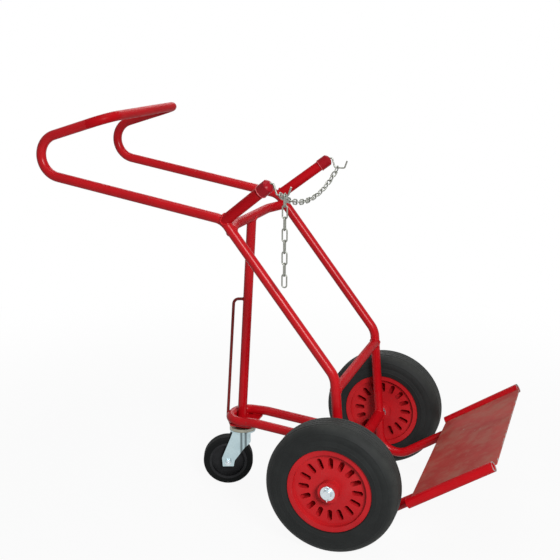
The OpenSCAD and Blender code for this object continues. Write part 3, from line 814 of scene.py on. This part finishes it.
@dataclass
class WeldedFrame(Assembly):
    """Tubes, crossbars, rear leg and their weld beads."""

    sharp: float = 60.0
    edge_w: float = 0.0008
    tube_edge: float = 0.0005
    cap_edge: float = 0.0006
    bead_r: float = 0.0026
    lip_r: float = 0.0013
    lip_sink: float = 0.0002
    lip_steps: tuple[int, int] = (72, 12)
    rod_r: float = 0.0017
    rod_points: int = 40
    rod_foot_r: float = 0.0018
    rod_foot_points: int = 12
    rod_foot_off: Spot = (0.0012, 0.0042, 0.007)
    rod_foot_run: Spot = (0.0004, 0.0, 0.015)
    pad_r: float = 0.0024
    pad_inset: float = 0.0055
    pad_start: float = 0.001
    pad_rise: float = 0.001
    pad_run: float = 0.024
    pad_arc: tuple[float, float] = (104.0, 166.0)
    pad_points: int = 24
    toe_r: float = 0.0021
    toe_starts: tuple[float, ...] = (0.012, 0.078, 0.144, 0.198)
    toe_run: float = 0.026
    foot_r: float = 0.0022
    foot_starts: tuple[float, ...] = (0.06, 0.13, 0.195)
    foot_run: float = 0.028
    foot_sink: float = 0.0012
    foot_half: float = 0.0052

    def coats(self) -> dict[str, tuple[str, ...]]:
        """Nodes that wear each paint.

        Returns:
            Key of each finish to its nodes.
        """
        return {"frame": ("left_rail", "right_rail", "left_handle", "right_handle", "rear_strut",
                          "caster_loop", "caster_plate", "caster_boss", "left_toe_tube", "right_toe_tube",
                          "axle_tube"),
                "rubbed": ("handle_bar", "upper_cradle", "lower_crossbar", "left_arm", "right_arm"),
                "rod": ("hose_rod",), "plate": ("toe_plate",), "cap": ("left_arm_cap", "right_arm_cap")}

    def edges(self) -> list[Edge]:
        """Edges of plates, boss, tube ends and caps.

        Returns:
            The rounded edges.
        """
        plates = [Edge(name, self.edge_w, "frame_red", key) for name, key in
                  (("toe_plate", "plate"), ("caster_plate", "frame"), ("caster_boss", "frame"))]
        tubes = [Edge(f"{side.word}_toe_tube", self.tube_edge, "frame_red", "toe_tube") for side in Side]
        caps = [Edge(f"{side.word}_arm_cap", self.cap_edge, "cap_red", "cap") for side in Side]
        return plates + tubes + caps

    def build(self) -> None:
        """Lay the weld beads and roll the lips of the arm caps."""
        for weld in self.runs():
            self.shop.settle(self.shop.bead(weld), Body.FRAME, "frame_red", self.made["frame"], self.sharp)
        for side in Side:
            # The lips wear the paler enamel, a painted highlight.
            self.shop.settle(self.lip(side), Body.FRAME, "cap_red", self.made["lip"], self.sharp)

    def lip(self, side: Side) -> Piece:
        """Rolled lip at the mouth of an arm cap.

        Args:
            side: Side of the trolley.

        Returns:
            The lip.
        """
        s = self.sizes
        foot, way = s.arm_line(side)
        self.shop.clear()
        around, section = self.lip_steps
        bpy.ops.mesh.primitive_torus_add(
            major_segments=around, minor_segments=section, major_radius=s.cap - self.lip_sink,
            minor_radius=self.lip_r, location=foot + way * (s.arm_len - s.cap_len),
            rotation=way.to_track_quat("Z", "Y").to_euler())
        return self.shop.take(f"{side.word}_cap_lip")

    def runs(self) -> list[Weld]:
        """Every weld of the frame."""
        bars = [weld for side in Side for weld in self.bar_runs(side) + self.toe_runs(side)]
        return bars + self.strut_runs() + [weld for side in Side for weld in self.pad_runs(side)]

    def bar_runs(self, side: Side) -> list[Weld]:
        """Welds of the crossbars, the axle tube, the rear leg and the arm on one side.

        Args:
            side: Side of the trolley.

        Returns:
            The welds.
        """
        s = self.sizes
        a = math.radians(s.recline)
        y = side * s.rail_y
        rail_way = Vector((-math.sin(a), 0.0, math.cos(a)))
        inward = Vector((0.0, -float(side), 0.0))
        lean = Vector((-s.knee[0], 0.0, s.wheel_r - s.knee[1]))
        bar_x = s.knee[0] + (s.knee[1] - s.lower_bar_z) * lean.x / -lean.z
        leg = (s.at(bar_x, y, s.lower_bar_z), lean)
        cradle_x, cradle_z = s.on_rail(s.cradle_drop)
        rail = (s.at(cradle_x, y, cradle_z), rail_way)
        to_mid = Vector((-s.cradle_bow, -side * s.cradle_share * s.rail_y, 0.0))
        hub = (s.at(0.0, y, s.wheel_r), lean)
        axle = (s.at(0.0, side * s.loop_leg_y, s.wheel_r), Vector((0.0, 1.0, 0.0)))
        back = Vector((s.caster_x + s.loop_level, 0.0, s.loop_z - s.wheel_r))
        arm = s.arm_line(side)
        joints = (("lower_bar", leg, s.tube, (leg[0], inward), s.tube),
                  ("cradle", rail, s.tube, (rail[0], to_mid), s.tube),
                  ("axle_tube", hub, s.tube, (hub[0], inward), s.axle_tube),
                  ("leg", axle, s.axle_tube, (axle[0], back), s.tube),
                  ("arm", (arm[0], rail_way), s.tube, arm, s.arm))
        return [Weld(f"{side.word}_{name}_weld", saddle(*joint), self.bead_r) for name, *joint in joints]

    def strut_runs(self) -> list[Weld]:
        """Welds of the strut, the caster's boss and the hose rod's upper end.

        Returns:
            The welds.
        """
        s = self.sizes
        up, across = Vector((0.0, 0.0, 1.0)), Vector((0.0, 1.0, 0.0))
        side = up.orthogonal().normalized()
        plane = (side, up.cross(side))
        cradle_x, cradle_z = s.on_rail(s.cradle_drop)
        foot = s.at(s.caster_x - s.strut_back, 0.0, s.plate_top)
        head = s.at(cradle_x - s.cradle_bow, 0.0, cradle_z)
        strut = head - foot
        boss = s.at(s.caster_x, 0.0, s.plate_top - s.pad_t)
        meet = foot.lerp(head, (s.rod_z + s.rod_rise - s.plate_top) / (cradle_z - s.plate_top))
        rod_in = meet - s.at(meet.x - s.shift - s.rod_back, 0.0, s.rod_z)
        return [
            Weld("strut_head_weld", saddle((head, across), s.tube, (head, -strut), s.tube), self.bead_r),
            Weld("strut_foot_weld", ring(foot, *plane, s.tube), self.bead_r),
            Weld("boss_weld", ring(boss, *plane, s.boss), self.bead_r),
            Weld("rod_head_weld", saddle((meet, strut), s.tube, (meet, -rod_in), s.rod, self.rod_points),
                 self.rod_r)]

    def pad_runs(self, side: Side) -> list[Weld]:
        """Open welds of the caster plate and of the hose rod's foot on one side.

        Args:
            side: Side of the trolley.

        Returns:
            The welds.
        """
        s = self.sizes
        w, rise = side.word, s.plate_top + self.pad_rise
        end_x = s.caster_x - s.loop_back
        corner = s.loop_leg_y - s.loop_straight
        bend_x, bend_r = end_x + corner, corner - self.pad_inset
        off_x, off_y, off_z = self.rod_foot_off
        low = s.at(end_x - s.tube - off_x, side * off_y, s.loop_z - off_z)
        spot = s.at(bend_x + self.pad_start, side * (s.loop_leg_y - self.pad_inset), rise)
        turns = [math.radians(v) for v in np.linspace(*self.pad_arc, self.pad_points)]
        arc = [s.at(bend_x + bend_r * math.cos(t), side * (s.loop_straight + bend_r * math.sin(t)), rise)
               for t in turns]
        return [
            stitch(f"{w}_rod_foot_weld", low, Vector(self.rod_foot_run), self.rod_foot_r,
                   self.rod_foot_points),
            stitch(f"{w}_pad_weld", spot, Vector((self.pad_run, 0.0, 0.0)), self.pad_r),
            Weld(f"{w}_pad_corner_weld", arc, self.pad_r, False)]

    def toe_runs(self, side: Side) -> list[Weld]:
        """Stitch welds of the toe plate on one side.

        Args:
            side: Side of the trolley.

        Returns:
            The welds.
        """
        s = self.sizes
        w, slope = side.word, math.radians(s.toe_slope)
        way = Vector((math.cos(slope), 0.0, math.sin(slope)))
        normal = Vector((-math.sin(slope), 0.0, math.cos(slope)))
        tip = s.at(s.toe_x, 0.0, s.toe_z)
        under = s.plate_lift - s.plate_t
        runs = []
        for k, start in enumerate(self.toe_starts):
            for name, high in (("toe", s.plate_lift), ("toe_under", under)):
                edge = s.toe_y - math.sqrt(s.tube ** 2 - high ** 2)
                spot = tip - way * start + normal * high + Vector((0.0, side * edge, 0.0))
                runs.append(stitch(f"{w}_{name}_weld_{k}", spot, -way * self.toe_run, self.toe_r))
        for k, start in enumerate(self.foot_starts):
            for letter, half in (("a", -self.foot_half), ("b", self.foot_half)):
                spot = tip - way * start + normal * (under - self.foot_sink)
                spot += Vector((0.0, side * s.rail_y + half, 0.0))
                runs.append(stitch(f"{w}_foot_weld_{k}_{letter}", spot, -way * self.foot_run, self.foot_r))
        return runs


@dataclass
class RoadWheel(Assembly):
    """One main wheel: a grooved tyre on a ribbed rim."""

    side: Side
    grooves: tuple[float, ...] = (-0.024, -0.012, 0.0, 0.012, 0.024)
    groove_depth: float = 0.0016
    groove_w: float = 0.0011
    tread_h: float = 0.02
    turns: int = 160
    core_depth: float = 0.04
    shoulder_r: float = 0.03
    shoulder_y: float = 0.015
    sweep: int = 118
    flat_sweep: int = 30
    ribs: tuple[tuple[float, float], ...] = ((0.147, 0.0012), (0.118, 0.0016))
    rib_h: float = 0.0007
    rib_from: float = 0.03
    seat_gap: float = 0.0005
    bead_inset: float = 0.004
    bead_depth: float = 0.007
    rim_edge: float = 0.0012
    sharp: float = 50.0
    merge: float = 0.00002

    @property
    def body(self) -> Body:
        """Body that the wheel turns with."""
        return Body.LEFT_WHEEL if self.side is Side.LEFT else Body.RIGHT_WHEEL

    def coats(self) -> dict[str, tuple[str, ...]]:
        """Finishes of the rim, its bushes and the tyre."""
        w = self.side.word
        return {"rim": (f"{w}_rim",), "bush": (f"{w}_bushes",), f"{w}_rubber": (f"{w}_tyre",)}

    def edges(self) -> list[Edge]:
        """Edges of the rim's ribs and pockets."""
        return [Edge(f"{self.side.word}_rim", self.rim_edge, "rim_red", "rim", self.body)]

    def profile(self) -> list[tuple[float, float]]:
        """Closed section of the tyre.

        Returns:
            Radius and distance across of each point.
        """
        s = self.sizes
        half, side_y = s.tyre_w / 2, self.shoulder_y
        shoulder = s.wheel_r - self.shoulder_r
        shapes = [(s.wheel_r - half, 0.0, half), (shoulder, -side_y, self.shoulder_r),
                  (shoulder, side_y, self.shoulder_r)]
        core = s.wheel_r - self.core_depth
        points: list[tuple[float, float]] = []
        for k in range(-self.sweep, self.sweep + 1):
            turn = math.radians(k)
            way = (math.cos(turn), math.sin(turn))
            far = 0.0
            for r, y, size in shapes:
                off = (core - r, -y)
                b = off[0] * way[0] + off[1] * way[1]
                c = off[0] ** 2 + off[1] ** 2 - size ** 2
                if b * b - c > 0.0:
                    far = max(far, -b + math.sqrt(b * b - c))
            if abs(k) < self.flat_sweep:
                far = max(far, min((s.wheel_r - core) / way[0], side_y / max(abs(way[1]), 1e-6)))
            r, y = core + far * way[0], far * way[1]
            if r < s.rim_r + self.seat_gap:
                continue
            relief = 0.0
            if r > s.wheel_r - self.tread_h:
                relief -= self.groove_depth * sum(bell(y - g, self.groove_w) for g in self.grooves)
            if abs(y) > self.rib_from:
                relief += self.rib_h * sum(bell(r - at, wide) for at, wide in self.ribs)
            far += relief
            points.append((core + far * way[0], far * way[1]))
        bead, low = s.rim_w / 2 - self.bead_inset, s.rim_r - self.bead_depth
        return points + [(s.rim_r, bead), (low, bead), (low, -bead), (s.rim_r, -bead)]

    def build(self) -> None:
        """Spin the tyre's section round the axle."""
        s = self.sizes
        self.shop.clear()
        centre = s.at(0.0, self.side * s.wheel_y, s.wheel_r)
        section = self.profile()
        bpy.ops.mesh.primitive_circle_add(vertices=len(section), fill_type="NOTHING")
        tyre = self.shop.take(f"{self.side.word}_tyre_grooved")
        spots = [(centre.x + r, centre.y + y, centre.z) for r, y in section]
        tyre.data.vertices.foreach_set("co", np.array(spots, np.float32).reshape(-1))
        tyre.data.update()
        self.shop.mode("EDIT")
        bpy.ops.mesh.select_all(action="SELECT")
        bpy.ops.mesh.spin(steps=self.turns, angle=2 * math.pi, center=tuple(centre), axis=(0.0, 1.0, 0.0))
        bpy.ops.mesh.select_all(action="SELECT")
        bpy.ops.mesh.remove_doubles(threshold=self.merge)
        self.shop.mode("OBJECT")
        finish = self.made[f"{self.side.word}_rubber"]
        self.shop.settle(tyre, self.body, "tyre_black", finish, self.sharp)
        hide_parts(f"{self.side.word}_tyre")


@dataclass
class RearCaster(Assembly):
    """Swivel caster under the rear leg, and the axle fittings in the same plating."""

    fine: float = 0.0004
    stamped: float = 0.0006
    broad: float = 0.0008
    tyre_edge: float = 0.0012

    def coats(self) -> dict[str, tuple[str, ...]]:
        """Finishes of the caster and the axle.

        Returns:
            Key of each finish to its nodes.
        """
        return {"fork": ("caster_fork",),
                "zinc": ("caster_axle", "caster_axle_nut", "stem_nut", "swivel_balls", "caster_stem", "axle",
                         "axle_spacers", "axle_washers", "split_pins"),
                "head": ("caster_head",), "caster_rubber": ("caster_tyre",), "caster_hub": ("caster_hub",),
                "bush": ("caster_bush",)}

    def edges(self) -> list[Edge]:
        """Edges of the stampings, nuts, axle fittings and caster wheel.

        Returns:
            The rounded edges.
        """
        return [Edge("caster_fork", self.broad, finish="fork", body=Body.YOKE),
                Edge("caster_axle", self.fine, body=Body.YOKE),
                Edge("caster_axle_nut", self.fine, body=Body.YOKE),
                Edge("caster_head", self.stamped, finish="head"),
                Edge("stem_nut", self.fine), Edge("axle", self.broad),
                Edge("axle_washers", self.fine), Edge("axle_spacers", self.fine),
                Edge("caster_tyre", self.tyre_edge, "caster_rubber", "caster_rubber", Body.CASTER_WHEEL),
                Edge("caster_hub", self.broad, "caster_grey", "caster_hub", Body.CASTER_WHEEL)]


@dataclass
class ChainSet(Assembly):
    """Hooks, slung chain and its free tail."""

    def coats(self) -> dict[str, tuple[str, ...]]:
        """Plating of the links and hooks."""
        return {"chain": ("chain_sling", "chain_tail", "left_chain_hook", "right_chain_hook")}


@dataclass(frozen=True)
class Lamp:
    """Soft box with its place, width in metres and power in watts."""

    name: str
    spot: Spot
    size: float
    power: float


@dataclass
class Studio:
    """Pale floor, soft lights and the photograph's camera."""

    sizes: Sizes
    focal_px: float = 1018.9
    frame_px: float = 560.0
    yaw: float = 18.3
    pitch: float = 14.0
    roll: float = -0.4
    eye: Spot = (0.5881, -2.4796, 1.2417)
    sensor: float = 36.0
    clip: tuple[float, float] = (0.05, 100.0)
    target: Spot = (0.0, 0.0, 0.45)
    lamps: tuple[Lamp, ...] = (
        Lamp("key_light", (1.9, -2.5, 2.0), 1.2, 116.0),
        Lamp("top_light", (0.2, -0.2, 3.6), 2.2, 34.0),
        Lamp("rim_light", (-0.9, 2.8, 2.4), 2.0, 34.0))
    ambient: tuple[Colour, float] = ((0.93, 0.96, 1.0), 0.15)
    backdrop: tuple[Colour, float] = ((1.0, 1.0, 1.0), 1.0)
    floor_r: float = 14.0
    floor_steps: int = 96
    floor_drop: float = 0.0006
    floor_tone: float = 0.5
    floor_dim: float = 0.07
    floor_fade: tuple[float, float] = (0.7, 2.2)

    def build(self) -> None:
        """Make the camera, lights, world and floor."""
        self.camera()
        self.floor()
        self.world()
        for lamp in self.lamps:
            self.light(lamp)

    def camera(self) -> None:
        """Place the camera where the photograph was taken."""
        yaw, pitch, roll = (math.radians(v) for v in (self.yaw, self.pitch, self.roll))
        ahead = Vector((-math.sin(yaw) * math.cos(pitch), math.cos(yaw) * math.cos(pitch), -math.sin(pitch)))
        right = Vector((math.cos(yaw), math.sin(yaw), 0.0))
        down = ahead.cross(right)
        turned = right * math.cos(roll) + down * math.sin(roll)
        lower = -right * math.sin(roll) + down * math.cos(roll)
        data = bpy.data.cameras.new("photo_camera")
        data.sensor_width = self.sensor
        data.lens = self.focal_px * self.sensor / self.frame_px
        data.clip_start, data.clip_end = self.clip
        rig = bpy.data.objects.new("photo_camera", data)
        bpy.context.scene.collection.objects.link(rig)
        axes = Matrix((turned, -lower, -ahead)).transposed().to_4x4()
        rig.matrix_world = Matrix.Translation(self.sizes.at(*self.eye)) @ axes
        bpy.context.scene.camera = rig

    def light(self, lamp: Lamp) -> None:
        """Add a soft box that faces the trolley.

        Args:
            lamp: The soft box.
        """
        data = bpy.data.lights.new(lamp.name, "AREA")
        data.shape = "DISK"
        data.size = lamp.size
        data.energy = lamp.power
        rig = bpy.data.objects.new(lamp.name, data)
        bpy.context.scene.collection.objects.link(rig)
        rig.location = lamp.spot
        rig.rotation_euler = (Vector(self.target) - Vector(lamp.spot)).to_track_quat("-Z", "Y").to_euler()

    def floor(self) -> None:
        """Lay a wide pale floor that keeps the shadow."""
        bpy.ops.object.select_all(action="DESELECT")
        bpy.ops.mesh.primitive_circle_add(vertices=self.floor_steps, radius=self.floor_r, fill_type="NGON",
                                          location=(0.0, 0.0, -self.floor_drop))
        floor = bpy.context.object
        floor.name = "studio_floor"
        bpy.ops.object.transform_apply(location=True, rotation=True, scale=True)
        g = Graph("studio_floor_paint")
        light = g.add("ShaderNodeLightPath", {}, {})
        g.finish({"Base Color": (self.floor_tone,) * 3, "Roughness": 0.9, "Specular IOR Level": 0.1})
        glow = g.add("ShaderNodeEmission", {}, {"Color": (1.0, 1.0, 1.0), "Strength": 1.0})
        far = g.step(g.reach(g.place(), (0.0, 0.0, 0.0)), *self.floor_fade)
        rays = [Wire(g, light.outputs[f"Is {kind} Ray"]) for kind in ("Camera", "Glossy", "Transmission")]
        shade = 1.0 - self.floor_dim + self.floor_dim * far
        seen = g.math("MINIMUM", rays[0] + rays[1] + rays[2], 1.0) * shade
        mixed = g.add("ShaderNodeMixShader", {}, {0: seen, 1: g.shader.outputs[0], 2: glow.outputs[0]})
        g.feed(g.end.inputs["Surface"], mixed.outputs[0])
        floor.data.materials.append(g.material)

    def world(self) -> None:
        """Fill the room with soft light and a white backdrop."""
        room = bpy.data.worlds.new("studio_room")
        room.use_nodes = True
        nodes, links = room.node_tree.nodes, room.node_tree.links
        nodes.clear()
        light = nodes.new("ShaderNodeLightPath")
        mixed = nodes.new("ShaderNodeMixShader")
        out = nodes.new("ShaderNodeOutputWorld")
        for place, (colour, strength) in enumerate((self.ambient, self.backdrop), 1):
            sky = nodes.new("ShaderNodeBackground")
            sky.inputs["Color"].default_value = (*colour, 1.0)
            sky.inputs["Strength"].default_value = strength
            links.new(sky.outputs[0], mixed.inputs[place])
        seen = light.outputs["Is Camera Ray"]
        for kind in ("Glossy", "Transmission"):
            either = nodes.new("ShaderNodeMath")
            either.operation = "MAXIMUM"
            links.new(seen, either.inputs[0])
            links.new(light.outputs[f"Is {kind} Ray"], either.inputs[1])
            seen = either.outputs[0]
        links.new(seen, mixed.inputs[0])
        links.new(mixed.outputs[0], out.inputs["Surface"])
        bpy.context.scene.world = room


def main() -> None:
    """Load the frame, then build and dress each sub-assembly."""
    logging.basicConfig(level=logging.INFO, format="%(name)s: %(message)s")
    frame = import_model()
    bpy.context.scene.view_settings.view_transform = "Standard"
    sizes = Sizes()
    shop = Workshop()
    Studio(sizes).build()
    kit = (sizes, shop, make_finishes(sizes))
    parts = [WeldedFrame(*kit), *(RoadWheel(*kit, side) for side in Side), RearCaster(*kit), ChainSet(*kit)]
    for part in parts:
        part.dress(frame)
        part.soften(frame)
        part.build()
    shop.clear()
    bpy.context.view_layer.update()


if __name__ == "__main__":
    main()
